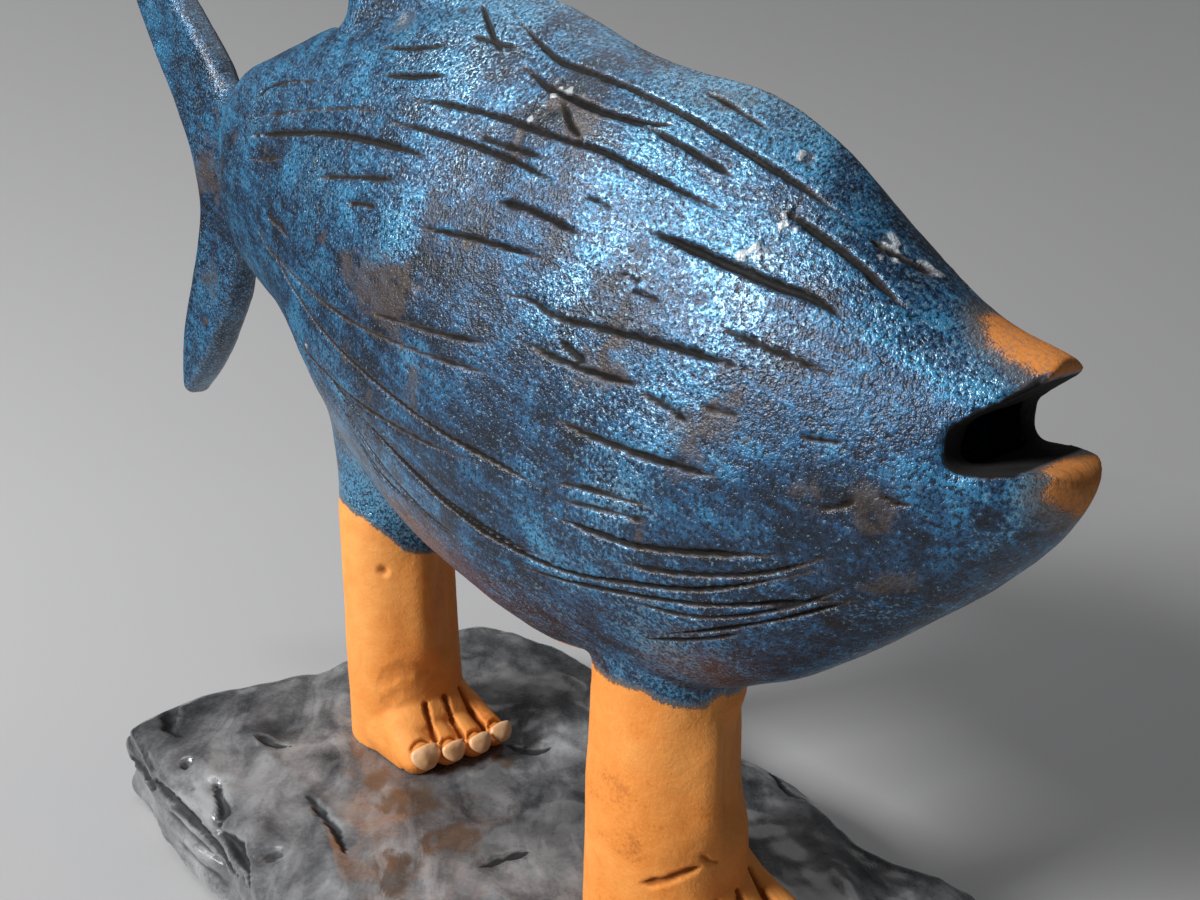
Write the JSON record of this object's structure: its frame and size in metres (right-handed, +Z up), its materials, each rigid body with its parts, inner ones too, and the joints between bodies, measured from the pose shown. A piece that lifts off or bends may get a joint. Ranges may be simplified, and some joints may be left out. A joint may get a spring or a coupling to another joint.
{
  "type": "fish figurine",
  "caption": "Ceramic fish with an open mouth that stands on bare human legs and feet, fixed on a slab of layered rock.",
  "frame": {"origin": "on the resting face under the middle of the rock slab, midway between the two legs' feet, on the plane of symmetry of the fish", "axes": "+Z up, +X towards the fish's mouth, -Y towards the fish's right side"},
  "size_m": [0.3077, 0.124, 0.2509],
  "materials": {
    "blue_glaze": "metallic blue glaze with sparkling grain over brown clay, thin on edges and dark in the incised lines",
    "orange_clay": "matt orange slip over modelled clay",
    "cream_clay": "pale cream slip, slightly satin",
    "grey_rock_glaze": "grey glossy glaze with pits, cracks and brown iron stains",
    "steel": "zinc plated steel"
  },
  "bodies": {
    "root": {"body_right_shell": "blue_glaze", "body_left_shell": "blue_glaze", "tail_fin": "blue_glaze", "dorsal_fin": "blue_glaze", "base": "grey_rock_glaze", "rear_leg": "orange_clay", "rear_toenail_1": "cream_clay", "rear_toenail_2": "cream_clay", "rear_toenail_3": "cream_clay", "rear_toenail_4": "cream_clay", "rear_stud": "steel", "rear_washer": "steel", "rear_nut": "steel", "front_leg": "orange_clay", "front_toenail_1": "cream_clay", "front_toenail_2": "cream_clay", "front_toenail_3": "cream_clay", "front_toenail_4": "cream_clay", "front_stud": "steel", "front_washer": "steel", "front_nut": "steel"}
  },
  "joints": []
}
